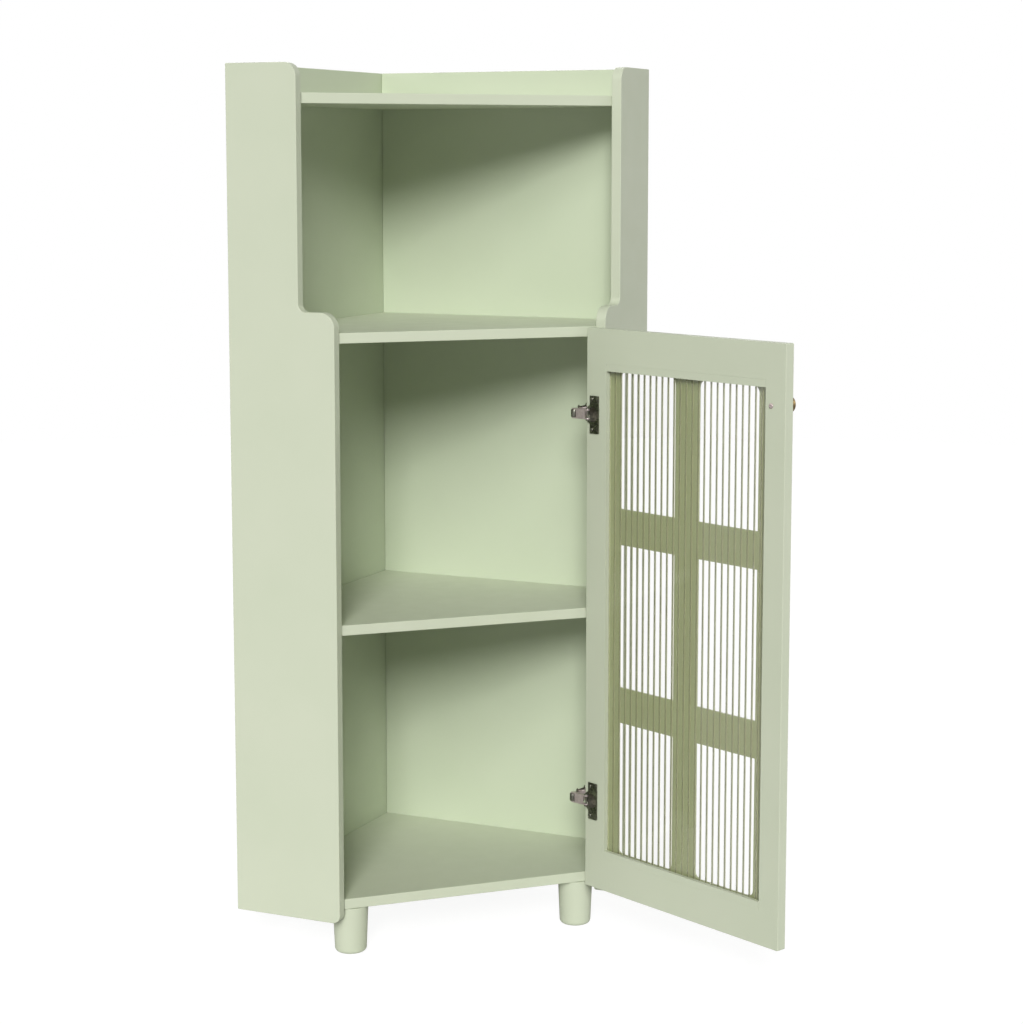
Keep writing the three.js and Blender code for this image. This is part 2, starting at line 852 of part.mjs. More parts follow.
// The arm in its own frame: x along the wing's front-to-back line, positive past the
// wing's front end, y out from the wing's inner face, z up from the hinge's height.
function makeArm(name, height, place) {
  const foot = plate_thickness + joint_gap * 2;
  const shoulder = foot + arm_depth;
  const pin = new THREE.Vector2(arm_pin_along, arm_pin_out);
  const rear = new THREE.Vector2(-arm_knee_reach, (foot + shoulder) / 2);
  const back_way = rear.clone().sub(pin).normalize();
  const side_way = new THREE.Vector2(back_way.y, -back_way.x);
  const fork = pin.clone().addScaledVector(back_way, arm_fork_distance);
  const fork_out = fork.clone().addScaledVector(side_way, arm_half_width);
  const fork_in = fork.clone().addScaledVector(side_way, -arm_half_width);
  const outline = [
    new THREE.Vector2(-arm_back_reach, foot),
    new THREE.Vector2(-arm_foot_reach, foot),
    fork_in,
    fork_out,
    new THREE.Vector2(-arm_knee_reach, shoulder),
    new THREE.Vector2(-arm_back_reach, shoulder),
  ];
  const body = plainBoard(polygon(outline), arm_height).translate(0, 0, -arm_height / 2);
  const channel = [
    new THREE.Vector2(-arm_back_reach + arm_wall, foot - cut_overrun),
    new THREE.Vector2(-arm_foot_reach, foot - cut_overrun),
    fork_in.clone().addScaledVector(back_way, arm_wall),
    fork.clone().addScaledVector(back_way, arm_wall),
    new THREE.Vector2(-arm_knee_reach, shoulder - arm_wall),
    new THREE.Vector2(-arm_back_reach + arm_wall, shoulder - arm_wall),
  ];
  const channel_height = arm_height - arm_wall * 2;
  const hollow = plainBoard(polygon(channel), channel_height)
    .translate(0, 0, -channel_height / 2);
  const overlap = back_way.clone().multiplyScalar(arm_wall);
  const tongue_root_out = fork_out.clone().add(overlap);
  const tongue_root_in = fork_in.clone().add(overlap);
  const tongue_tip_in = pin.clone().addScaledVector(side_way, -arm_half_width);
  const tongue_tip_out = pin.clone().addScaledVector(side_way, arm_half_width);
  const tongue_foot = -tongue_height / 2;
  const tongue = plainBoard(
    polygon([tongue_root_in, tongue_tip_in, tongue_tip_out, tongue_root_out]),
    tongue_height,
  ).translate(0, 0, tongue_foot);
  const nose_foot = new THREE.Vector3(pin.x, pin.y, tongue_foot);
  const nose = roundBar(arm_half_width, tongue_height, nose_foot, round_steps);
  const pin_foot = new THREE.Vector3(pin.x, pin.y, -half_link);
  const pin_bar = roundBar(link_pin_radius, link_height, pin_foot, small_round_steps);
  const shell = cutAll(toSolid(body), [hollow]);
  const whole = shell.add(joinAll(tongue, [nose, pin_bar]));
  const mesh = makeMesh(name, fromSolid(whole), plated_steel);
  standAlong(mesh, left_wall, right_wall.clone().negate(), up.clone().negate(), place);
  mesh.position.z = height;
  return mesh;
}

// The mounting plate lies on the wing's inner face, under the arm's foot.
function makePlate(name, height, place) {
  const x_far = -plate_front;
  const x_back = -plate_front - plate_length;
  const half = plate_height / 2;
  const corners = [plate_corner, plate_corner, plate_corner, plate_corner];
  const outline = cornerRectangle(x_back, -half, x_far, half, corners);
  const centre = (x_far + x_back) / 2;
  const holes = [-1, 1].map((side) => {
    const hole_foot = new THREE.Vector3(centre, (side * plate_screw_spacing) / 2, -cut_overrun);
    const reach = plate_thickness + cut_overrun * 2;
    return roundBar(wood_screw_radius + joint_gap, reach, hole_foot, small_round_steps);
  });
  const drilled = cutAll(toSolid(plainBoard(outline, plate_thickness)), holes);
  const mesh = makeMesh(name, fromSolid(drilled), plated_steel);
  const outward = right_wall.clone().negate();
  standAlong(mesh, left_wall, up, outward, place.clone().addScaledVector(outward, joint_gap));
  mesh.position.z = height;
  return mesh;
}

function makePlateScrews(place) {
  const inward = right_wall.clone();
  const places = plateScrewPlaces();
  const names = ['upper_plate_screw_low', 'upper_plate_screw_high'];
  names.push('lower_plate_screw_low', 'lower_plate_screw_high');
  return places.map((screw_place, index) => {
    const screw = makeScrew(
      names[index],
      wood_screw_head_radius,
      wood_screw_head_height,
      wood_screw_radius,
      wood_screw_length,
      plated_steel,
    );
    const spot = place
      .clone()
      .addScaledVector(left_wall, -screw_place.back)
      .addScaledVector(inward, -plate_thickness - joint_gap * 2);
    standAlong(screw, left_wall, inward, left_wall.clone().cross(inward), spot);
    screw.position.z = screw_place.height;
    return screw;
  });
}

function makeDoor(plan) {
  const door = new THREE.Group();
  door.name = 'door';
  door.add(makeDoorPanel(), makeGlass(), ...makeStrips(), makeKnob(), makeKnobScrew());
  for (const [name, height] of Object.entries(cupHeights())) {
    door.add(makeCup(`${name}_hinge_cup`, height));
  }
  door.add(...makeCupScrews());
  door.position.set(plan.open_corner.x, plan.open_corner.y, leg_height);
  door.rotation.z = door_open_angle - Math.PI;
  return door;
}

function makeCabinetHinges(plan) {
  const pieces = [];
  for (const [name, height] of Object.entries(hinge_heights)) {
    pieces.push(makePlate(`${name}_hinge_plate`, height, plan.wing_corner));
    pieces.push(makeArm(`${name}_hinge_arm`, height, plan.wing_corner));
    pieces.push(makeLink(`${name}_hinge_link`, plan, height));
  }
  pieces.push(...makePlateScrews(plan.wing_corner));
  return pieces;
}

// Everything above is laid out from the room corner, where the two wall planes meet on
// the floor. The finished part has its origin under the rear leg instead.
const carcass_and_door = new THREE.Group();
const hinge_plan = hingePlan();
carcass_and_door.add(...makeWings(), ...makeBacks(), ...makeBoards(), ...makeLegs());
carcass_and_door.add(...makeCabinetHinges(hinge_plan));
carcass_and_door.add(makeDoor(hinge_plan));
carcass_and_door.position.copy(legPlaces().rear_leg).negate();

const cupboard = new THREE.Group();
cupboard.name = 'corner_cupboard';
cupboard.add(carcass_and_door);

export default cupboard;
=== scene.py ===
import math

import bpy
import numpy as np
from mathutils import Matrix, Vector
from mathutils.geometry import tessellate_polygon


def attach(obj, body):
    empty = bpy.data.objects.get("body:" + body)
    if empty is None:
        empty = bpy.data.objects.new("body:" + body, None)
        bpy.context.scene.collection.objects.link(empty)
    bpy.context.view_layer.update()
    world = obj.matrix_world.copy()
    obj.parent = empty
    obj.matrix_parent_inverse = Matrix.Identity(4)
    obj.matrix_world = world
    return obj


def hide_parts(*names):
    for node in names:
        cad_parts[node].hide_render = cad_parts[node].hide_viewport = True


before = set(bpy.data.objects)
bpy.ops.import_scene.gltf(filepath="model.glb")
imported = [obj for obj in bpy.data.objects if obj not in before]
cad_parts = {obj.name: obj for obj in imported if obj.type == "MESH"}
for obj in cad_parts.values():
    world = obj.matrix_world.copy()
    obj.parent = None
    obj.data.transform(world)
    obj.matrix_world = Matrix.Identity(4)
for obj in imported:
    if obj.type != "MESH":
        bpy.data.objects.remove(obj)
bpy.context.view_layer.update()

# Sizes in metres, the same as the solids'.
GAP = 0.0003
BOARD = 0.015
WALL_SIDE = 0.460
WING_DEPTH = 0.170
UPPER_WING_DEPTH = 0.113
BACK_INSET = 0.001
SHELF_SETBACK = 0.005
LEG_HEIGHT = 0.070
WING_FOOT = 0.054
WING_TOP = 1.280
LOWER_SHELF_FOOT = 0.4725
MIDDLE_SHELF_FOOT = 0.8895
TOP_BOARD_FOOT = 1.2235
STEP_HEIGHT = 0.9334
STEP_HOLLOW = 0.0115
STEP_ROUND = 0.022
WING_TOP_ROUND = 0.020
WING_FOOT_ROUND = 0.012
LEG_TOP_RADIUS = 0.026
LEG_FOOT_RADIUS = 0.023
LEG_FOOT_ROUND = 0.006
LEG_TOP_ROUND = 0.0006
FRONT_LEG_FROM_FRONT = 0.024
FRONT_LEG_FROM_WALL = 0.033
REAR_LEG_FROM_WALLS = 0.049
DOOR_THICKNESS = 0.015
DOOR_OVERLAP = 0.00055
DOOR_GAP = 0.002
DOOR_TOP = 0.904
HINGE_STILE = 0.041
LOCK_STILE = 0.0365
RAIL = 0.061
PANE_COVER = 0.020
UPRIGHT_BAR = 0.047
CROSS_BAR = 0.053
MIDDLE_WINDOW_SHARE = 0.3474
WINDOW_DROP = 0.001
WINDOW_ROUND = 0.010
WINDOW_LAYER = 0.004
STRIP_HEIGHT = 0.0105
STRIP_THICKNESS = 0.0066
STRIP_FIT = 0.00008
KNOB_FROM_EDGE = 0.026
KNOB_BELOW_TOP = 0.085
KNOB_BASE_RADIUS = 0.0075
KNOB_NECK_RADIUS = 0.0055
KNOB_RIM_RADIUS = 0.012
KNOB_DOME_RADIUS = 0.010
UPPER_HINGE_DROP = 0.126
LOWER_HINGE_RISE = 0.1315
PIN_SETBACK = 0.0055
PIN_RISE = 0.0034
ARM_PIN_ALONG = 0.016
ARM_PIN_OUT = 0.0272
LINK_SWING = math.radians(49.3)
DOOR_ANGLE = math.radians(110)
HALF_ARM = 0.0075
HALF_TONGUE = 0.0054
ARM_NOSE = 0.0046
ARM_KNEE = (-0.034, 0.0075)
SPRING_SHEET = 0.001
SPRING_FIT = 0.00005
CUP_HOLLOW = 0.0107
CUP_FROM_EDGE = 0.0145
CUP_BORE_RADIUS = 0.0118
CUP_BORE_DEPTH = 0.0109
SCREW_HEAD = 0.0014
KNOB_SCREW_HEAD = 0.0016
SCREW_SHANK = 0.0016
CROSS_WIDTH = 0.17
CROSS_LENGTH = 0.62
CROSS_DEPTH = 0.7
SCREW_RINGS = 33
SCREW_SIDES = 72
EASE = 0.0009
DOOR_EASE = 0.0007
SHARP_EASE = 0.0001
METAL_EASE = 0.00025
METAL_EDGE_TURN = math.radians(35)
SPRING_EASE = 0.0002
WINDOW_OUTER_EASE = 0.0008
WINDOW_INNER_EASE = 0.0003
BOARD_CORNER = 0.0018
WINDOW_CORNER = 0.0006
SLIM_CORNER = 0.0004
LOCK_TRIM = 0.00025
SMALLEST_EDGE = 2e-7
SMALLEST_AREA = 1e-13
SHORTEST_NORMAL = 1e-12
WELD_STEPS_PER_METRE = 1e7
WELD_REACH = 1e-6

S = math.sqrt(0.5)
LEFT_WALL = np.array([-S, -S, 0.0])
RIGHT_WALL = np.array([S, -S, 0.0])
UP = np.array([0.0, 0.0, 1.0])
ROOM_CORNER = np.array([0.0, 2 * REAR_LEG_FROM_WALLS * S, 0.0])
BACK_FACE = BACK_INSET + BOARD
WING_FACE = WALL_SIDE - BOARD


def plan_point(along_left, along_right):
    """Room corner + along_left * left wall direction + along_right * right wall direction."""
    return ROOM_CORNER + along_left * LEFT_WALL + along_right * RIGHT_WALL


def turned_about_z(vector, angle):
    """The vector turned about the upright axis."""
    c, s = math.cos(angle), math.sin(angle)
    return np.array([vector[0] * c - vector[1] * s, vector[0] * s + vector[1] * c, vector[2]])


def rounded_outline(corners, radii, steps=10):
    """Closed outline, counter-clockwise, with a fillet at each corner.

    A corner's sides turn by the angle phi. With m = (n_in + n_out) / (1 + n_in . n_out),
    the fillet's centre is corner - sign(phi) * radius * m, and its points are
    centre + sign(phi) * radius * (cos t, sin t), t running evenly from the first side's
    normal to the second's. Returns points and outward normals.
    """
    p = np.asarray(corners, float)
    r = np.asarray(radii, float)[:, None]
    back = p - np.roll(p, 1, 0)
    ahead = np.roll(p, -1, 0) - p
    back /= np.linalg.norm(back, axis=1)[:, None]
    ahead /= np.linalg.norm(ahead, axis=1)[:, None]
    n_in = np.stack([back[:, 1], -back[:, 0]], 1)
    n_out = np.stack([ahead[:, 1], -ahead[:, 0]], 1)
    dot = (back * ahead).sum(1)
    phi = np.arctan2(back[:, 0] * ahead[:, 1] - back[:, 1] * ahead[:, 0], dot)
    sign = np.where(phi < 0, -1.0, 1.0)[:, None]
    centre = p - sign * r * (n_in + n_out) / (1 + dot)[:, None]
    t = np.arctan2(n_in[:, 1], n_in[:, 0])[:, None] + phi[:, None] * np.linspace(0, 1, steps + 1)
    normals = np.stack([np.cos(t), np.sin(t)], 2)
    points = centre[:, None] + (sign * r)[:, None] * normals
    return points.reshape(-1, 2), normals.reshape(-1, 2)


def rectangle(x0, y0, x1, y1, radii, steps=6):
    """Rounded outline of a rectangle, from its low left corner round to its high left one."""
    return rounded_outline([(x0, y0), (x1, y0), (x1, y1), (x0, y1)], radii, steps)


def circle(x, y, radius, steps=64):
    """Centre + radius * (cos t, sin t) for t evenly round the circle."""
    t = np.linspace(0, 2 * math.pi, steps, endpoint=False)
    normals = np.stack([np.cos(t), np.sin(t)], 1)
    return np.array([x, y]) + radius * normals, normals


def hole(outline):
    """The same outline seen from outside: run backwards, its normals pointing into the hole."""
    points, normals = outline
    return points[::-1], -normals[::-1]


class Surface:
    """A piece's faces, gathered as arrays of corner places and corner normals."""

    def __init__(self):
        self.places, self.normals = [], []

    def add(self, places, normals):
        """Faces as lists of corner places and of the normals there."""
        self.places.extend(places)
        self.normals.extend(normals)

    def grid(self, p, n, around=True):
        """Quads between the neighbouring rows of a grid; around joins the last column to the first.

        A quad with one side of no length, as at a pole, becomes a triangle.
        """
        if around:
            p, n = np.concatenate([p, p[:, :1]], 1), np.concatenate([n, n[:, :1]], 1)
        pick = lambda g: np.stack([g[:-1, :-1], g[:-1, 1:], g[1:, 1:], g[1:, :-1]], 2)
        places, normals = pick(p).reshape(-1, 4, 3), pick(n).reshape(-1, 4, 3)
        short = np.linalg.norm(places - np.roll(places, -1, 1), axis=2) < SMALLEST_EDGE
        count = short.sum(1)
        self.add(places[count == 0], normals[count == 0])
        for side in range(4):
            chosen = short[:, side] & (count == 1)
            kept = [k for k in range(4) if k != side]
            self.add(places[chosen][:, kept], normals[chosen][:, kept])

    def cap(self, loops, normal):
        """A flat face inside the first loop and outside the others, cut into triangles."""
        flat = np.concatenate(loops)
        found = tessellate_polygon([[Vector(v) for v in loop] for loop in loops])
        tris = flat[np.array(found)]
        turn = np.cross(tris[:, 1] - tris[:, 0], tris[:, 2] - tris[:, 0])
        area = np.linalg.norm(turn, axis=1)
        tris = tris[area > SMALLEST_AREA]
        wrong = (turn[area > SMALLEST_AREA] @ normal) < 0
        tris[wrong] = tris[wrong][:, ::-1]
        self.add(tris, np.broadcast_to(normal, tris.shape))

    def placed(self, x_way, y_way, z_way, origin):
        """Every place becomes origin + x * x_way + y * y_way + z * z_way.

        A mirrored frame runs its faces backwards.
        """
        basis = np.array([x_way, y_way, z_way], float)
        mirrored = np.linalg.det(basis) < 0
        order = slice(None, None, -1) if mirrored else slice(None)
        self.places = [(q @ basis + origin)[order] for q in self.places]
        self.normals = [(q @ basis)[order] for q in self.normals]
        return self

    def joined(self, other):
        """The same piece with another's faces added."""
        self.add(other.places, other.normals)
        return self


def wall(surface, outline, low, high, low_ease=0.0, high_ease=0.0, steps=4):
    """The wall of a slab along an outline, from height low to height high.

    Its edges are quarter rounds: at turn t the wall stands ease * (1 - sin t) inside the
    outline and ease * (1 - cos t) from the face, with the normal sin t outward, cos t
    along the face's normal. Returns the loops where the two faces start.
    """
    points, normals = outline
    rows = []
    for z, ease, way in ((low, low_ease, -1.0), (high, high_ease, 1.0)):
        t = np.linspace(0, math.pi / 2, steps + 1) if ease > 0 else np.array([math.pi / 2])
        inset, rise = ease * (1 - np.sin(t)), z - way * ease * (1 - np.cos(t))
        row = np.stack([inset, rise, np.sin(t), way * np.cos(t)], 1)
        rows.append(row if way < 0 else row[::-1])
    row = np.concatenate(rows)
    flat = points[None] - row[:, 0, None, None] * normals[None]
    across = row[:, 2, None, None] * normals[None]
    p = np.concatenate([flat, np.broadcast_to(row[:, 1, None, None], flat.shape[:2] + (1,))], 2)
    n = np.concatenate([across, np.broadcast_to(row[:, 3, None, None], flat.shape[:2] + (1,))], 2)
    surface.grid(p, n)
    return p[0], p[-1]


def slab(outline, thickness, ease=EASE, steps=4):
    """A flat piece of the given outline with eased edges."""
    made = Surface()
    low, high = wall(made, outline, 0, thickness, ease, ease, steps)
    made.cap([low], np.array([0, 0, -1.0]))
    made.cap([high], np.array([0, 0, 1.0]))
    return made


def smooth_profile(corners, radii, steps=8):
    """An open profile in radius and height with a fillet at each inner corner.

    The fillets are those of rounded_outline; the two ends keep their own side's normal.
    The ends are given past the axis and then moved onto it at their own height.
    """
    p, n = rounded_outline(corners, radii, steps)
    p, n = p[steps:-steps], n[steps:-steps]
    p[0, 0] = p[-1, 0] = 0.0
    return p, n


def turned(profile, steps=72):
    """Radius and height carried round the z axis: (r cos t, r sin t, z), closed at both poles."""
    points, normals = profile
    t = np.linspace(0, 2 * math.pi, steps, endpoint=False)
    spin = np.stack([np.cos(t), np.sin(t)], 1)
    column = lambda r, z: np.concatenate(
        [r[:, None, None] * spin, np.broadcast_to(z[:, None, None], (len(r), steps, 1))], 2
    )
    made = Surface()
    made.grid(column(points[:, 0], points[:, 1]), column(normals[:, 0], normals[:, 1]))
    return made


def build(name, surface, body, nodes, material):
    """Welds the surface's corners, keeps its normals and hangs the piece on its body."""
    sizes = np.array([len(q) for q in surface.places])
    corners = np.concatenate(surface.places)
    normals = np.concatenate(surface.normals)
    normals /= np.maximum(np.linalg.norm(normals, axis=1)[:, None], SHORTEST_NORMAL)
    keys = np.round(corners * WELD_STEPS_PER_METRE).astype(np.int64)
    _, first, index = np.unique(keys, axis=0, return_index=True, return_inverse=True)
    mesh = bpy.data.meshes.new(name)
    mesh.vertices.add(len(first))
    mesh.vertices.foreach_set("co", corners[first].astype(np.float32).ravel())
    mesh.loops.add(len(corners))
    mesh.loops.foreach_set("vertex_index", index.ravel().astype(np.int32))
    mesh.polygons.add(len(sizes))
    mesh.polygons.foreach_set("loop_start", (np.cumsum(sizes) - sizes).astype(np.int32))
    mesh.polygons.foreach_set("use_smooth", np.ones(len(sizes), bool))
    mesh.update(calc_edges=True)
    mesh.normals_split_custom_set(normals.astype(np.float32).tolist())
    mesh.materials.append(material)
    piece = bpy.data.objects.new(name, mesh)
    bpy.context.scene.collection.objects.link(piece)
    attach(piece, body)
    if nodes:
        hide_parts(*nodes)
    return piece


# Materials.


def new_material(name):
    """A material whose tree is empty but for its output."""
    material = bpy.data.materials.new(name)
    material.use_nodes = True
    tree = material.node_tree
    tree.nodes.clear()
    return material, tree, tree.nodes.new("ShaderNodeOutputMaterial")


def node(tree, kind, inputs=None, **settings):
    """A node with its settings and its inputs: a value is set, a socket is linked."""
    made = tree.nodes.new(kind)
    for key, value in settings.items():
        setattr(made, key, value)
    for key, value in (inputs or {}).items():
        if isinstance(value, bpy.types.NodeSocket):
            tree.links.new(value, made.inputs[key])
        else:
            made.inputs[key].default_value = value
    return made


def noise(tree, place, scale, detail):
    """The value of a noise at the given scale, in features to the metre."""
    return node(
        tree,
        "ShaderNodeTexNoise",
        {"Vector": place, "Scale": scale, "Detail": detail, "Roughness": 0.5},
    ).outputs["Fac"]


def spread(tree, value, low, high):
    """A noise value's usual range, 0.3 to 0.7, carried to low..high."""
    return node(
        tree,
        "ShaderNodeMapRange",
        {"Value": value, "From Min": 0.3, "From Max": 0.7, "To Min": low, "To Max": high},
    ).outputs["Result"]


def mixed_tone(tree, factor, light, dark):
    """A colour between two others, at the given share of the second."""
    return node(
        tree,
        "ShaderNodeMix",
        {"Factor": factor, 6: colour(light), 7: colour(dark)},
        data_type="RGBA",
    ).outputs[2]


def colour(value):
    """sRGB hex to linear RGBA."""
    c = np.array([int(value[i : i + 2], 16) for i in (1, 3, 5)]) / 255
    lin = np.where(c <= 0.04045, c / 12.92, ((c + 0.055) / 1.055) ** 2.4)
    return (*map(float, lin), 1.0)


def sage_paint(name, light, deep):
    """Satin paint sprayed on board: a faint drift of tone, a fine orange-peel skin."""
    material, tree, out = new_material(name)
    place = node(tree, "ShaderNodeTexCoord").outputs["Object"]
    drift = spread(tree, noise(tree, place, scale=7.0, detail=3.0), 0.0, 1.0)
    tone = mixed_tone(tree, drift, light, deep)
    skin = noise(tree, place, scale=900.0, detail=2.0)
    sweep = noise(tree, place, scale=60.0, detail=3.0)
    gloss = noise(tree, place, scale=35.0, detail=4.0)
    fine = node(
        tree, "ShaderNodeBump", {"Strength": 0.05, "Distance": 0.0003, "Height": skin}
    ).outputs["Normal"]
    broad = node(
        tree,
        "ShaderNodeBump",
        {"Strength": 0.03, "Distance": 0.001, "Height": sweep, "Normal": fine},
    ).outputs["Normal"]
    shader = node(
        tree,
        "ShaderNodeBsdfPrincipled",
        {
            "Base Color": tone,
            "Roughness": spread(tree, gloss, 0.42, 0.52),
            "Normal": broad,
            "Specular IOR Level": 0.5,
        },
    )
    tree.links.new(shader.outputs[0], out.inputs["Surface"])
    return material


METAL_GRAIN = 260.0


def metal(name, light, dark, rough, metallic=1.0):
    """Metal with a cloudy tone between two colours and a brushed unevenness in its gloss."""
    material, tree, out = new_material(name)
    place = node(tree, "ShaderNodeTexCoord").outputs["Object"]
    cloud = spread(tree, noise(tree, place, scale=METAL_GRAIN, detail=4.0), 0.0, 1.0)
    tone = mixed_tone(tree, cloud, light, dark)
    brushing = noise(tree, place, scale=METAL_GRAIN * 6, detail=2.0)
    uneven = noise(tree, place, scale=METAL_GRAIN * 2, detail=3.0)
    bump = node(
        tree, "ShaderNodeBump", {"Strength": 0.08, "Distance": 0.0002, "Height": brushing}
    ).outputs["Normal"]
    shader = node(
        tree,
        "ShaderNodeBsdfPrincipled",
        {
            "Base Color": tone,
            "Metallic": metallic,
            "Roughness": spread(tree, uneven, rough * 0.8, rough * 1.25),
            "Normal": bump,
        },
    )
    tree.links.new(shader.outputs[0], out.inputs["Surface"])
    return material


def either(tree, first, second):
    """1 where at least one of two yes-or-no values is 1."""
    return node(
        tree, "ShaderNodeMath", {0: first, 1: second}, operation="MAXIMUM"
    ).outputs[0]


def let_lamps_through(tree, shader, out):
    """Lamps and soft light cross the glass dimmed, so what lies behind it isn't black."""
    dimmed = node(tree, "ShaderNodeBsdfTransparent", {"Color": SHADE_OF_GLASS})
    path = node(tree, "ShaderNodeLightPath").outputs
    lamp = either(tree, path["Is Shadow Ray"], path["Is Diffuse Ray"])
    mix = node(tree, "ShaderNodeMixShader", {0: lamp, 1: shader.outputs[0], 2: dimmed.outputs[0]})
    tree.links.new(mix.outputs[0], out.inputs["Surface"])


def glass():
    """Clear pressed glass, a faint haze in its gloss, that dims the lamps behind it."""
    material, tree, out = new_material("fluted_glass")
    place = node(tree, "ShaderNodeTexCoord").outputs["Object"]
    haze = spread(tree, noise(tree, place, scale=120.0, detail=3.0), 0.0, 0.03)
    shader = node(
        tree,
        "ShaderNodeBsdfPrincipled",
        {
            "Base Color": (1, 1, 1, 1),
            "Roughness": haze,
            "IOR": GLASS_IOR,
            "Transmission Weight": 1.0,
        },
    )
    let_lamps_through(tree, shader, out)
    return material


def groove_painted_reflection():
    """Painted reflection on the steep side of each flute: a grey-olive, half-clear look, its tone
    drifting at random, that stands in for the dark lines which light reflected inside the glass
    draws there.
    """
    material, tree, out = new_material("glass_groove_painted_reflection")
    place = node(tree, "ShaderNodeTexCoord").outputs["Object"]
    cloud = spread(tree, noise(tree, place, scale=80.0, detail=2.0), 0.0, 1.0)
    tone = mixed_tone(tree, cloud, "#C8C9B0", "#BDBEA5")
    shader = node(
        tree,
        "ShaderNodeBsdfPrincipled",
        {
            "Base Color": tone,
            "Roughness": 0.4,
            "IOR": GLASS_IOR,
            "Transmission Weight": PAINTED_REFLECTION_CLEARNESS,
        },
    )
    let_lamps_through(tree, shader, out)
    return material


SHADE_OF_GLASS = (0.68, 0.69, 0.53, 1)
GLASS_IOR = 1.5
# How much light the grooves' painted reflection lets through.
PAINTED_REFLECTION_CLEARNESS = 0.36
PAINTED = sage_paint("sage_paint", "#C0C6B0", "#BDC4AD")
# A greener copy of the sage paint for the back panels: painted bounce light and shade, standing in
# for the green light that bounces about inside the bays.
BACKS_PAINTED_BOUNCE_LIGHT = sage_paint("sage_paint_backs_painted_bounce_light", "#C2CBB2", "#BFC9AF")
DARK_METAL = metal("dark_steel", "#8A8A7E", "#5C5C52", 0.28)
BRIGHT_METAL = metal("plated_steel", "#C6B9B6", "#AC9F9C", 0.34, 0.55)
# A lighter metal for the cups' hollows: a painted reflection.
CUP_HOLLOW_PAINTED_REFLECTION = metal("cup_hollow_painted_reflection", "#918E82", "#706E64", 0.34, 0.85)
BRASS = metal("aged_brass", "#8E7A55", "#6B5B3E", 0.32)
GLASS = glass()
GROOVE_PAINTED_REFLECTION = groove_painted_reflection()

# The hinge solids and the bolts keep their shape and take a metal. The others get the
# paint, and each is replaced further down by a dressed piece with a look of its own.
for name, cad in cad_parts.items():
    look = PAINTED
    if any(word in name for word in ("bolt", "screw", "plate", "link", "arm")):
        look = BRIGHT_METAL
    if name.endswith("cup"):
        look = DARK_METAL
    cad.data.materials.clear()
    cad.data.materials.append(look)


# The carcass.


def side_panels():
    """The wing's outline is a polygon with six corners, each with its own fillet."""
    outline = rounded_outline(
        [
            (0, WING_FOOT),
            (WING_DEPTH, WING_FOOT),
            (WING_DEPTH, STEP_HEIGHT),
            (UPPER_WING_DEPTH, STEP_HEIGHT),
            (UPPER_WING_DEPTH, WING_TOP),
            (0, WING_TOP),
        ],
        [BOARD_CORNER, WING_FOOT_ROUND, STEP_ROUND, STEP_HOLLOW, WING_TOP_ROUND, BOARD_CORNER],
        steps=14,
    )
    left = slab(outline, BOARD).placed(RIGHT_WALL, UP, LEFT_WALL, plan_point(WING_FACE, 0))
    right = slab(outline, BOARD).placed(LEFT_WALL, UP, -RIGHT_WALL, plan_point(0, WALL_SIDE))
    build("left_side", left, "cabinet", ["left_side_panel"], PAINTED)
    build("right_side", right, "cabinet", ["right_side_panel"], PAINTED)


def back_panels():
    """Two plain boards; the left one runs through to the corner and the right one butts on it."""
    far = WING_FACE - GAP
    eased = [BOARD_CORNER] * 4
    left = slab(rectangle(BACK_INSET, WING_FOOT, far, WING_TOP, eased, steps=4), BOARD)
    left.placed(LEFT_WALL, UP, -RIGHT_WALL, plan_point(0, BACK_FACE))
    right = slab(rectangle(BACK_FACE + GAP, WING_FOOT, far, WING_TOP, eased, steps=4), BOARD)
    right.placed(RIGHT_WALL, UP, LEFT_WALL, plan_point(BACK_INSET, 0))
    # The backs take the greener copy of the paint, a painted green bounce light.
    build("left_back", left, "cabinet", ["left_back_panel"], BACKS_PAINTED_BOUNCE_LIGHT)
    build("right_back", right, "cabinet", ["right_back_panel"], BACKS_PAINTED_BOUNCE_LIGHT)


def corner_board(wing_depth):
    """Five corners: the room corner, the two wing ends, and a straight front between them."""
    near, far = BACK_FACE + GAP, WING_FACE - GAP
    front_sum = WING_FACE + wing_depth - SHELF_SETBACK * math.sqrt(2)
    corners = [
        plan_point(near, near),
        plan_point(far, near),
        plan_point(far, front_sum - far),
        plan_point(front_sum - far, far),
        plan_point(near, far),
    ]
    return rounded_outline(np.array(corners)[:, :2], [BOARD_CORNER] * 5, steps=4)


def boards():
    """Four slabs of the corner's outline, each at the height of its underside."""
    for name, foot, depth in (
        ("bottom_board", LEG_HEIGHT, WING_DEPTH),
        ("lower_shelf", LOWER_SHELF_FOOT, WING_DEPTH),
        ("middle_shelf", MIDDLE_SHELF_FOOT, WING_DEPTH),
        ("top_board", TOP_BOARD_FOOT, UPPER_WING_DEPTH),
    ):
        board = slab(corner_board(depth), BOARD)
        board.placed([1, 0, 0], [0, 1, 0], [0, 0, 1], np.array([0, 0, foot]))
        build(name + "_dressed", board, "cabinet", [name], PAINTED)


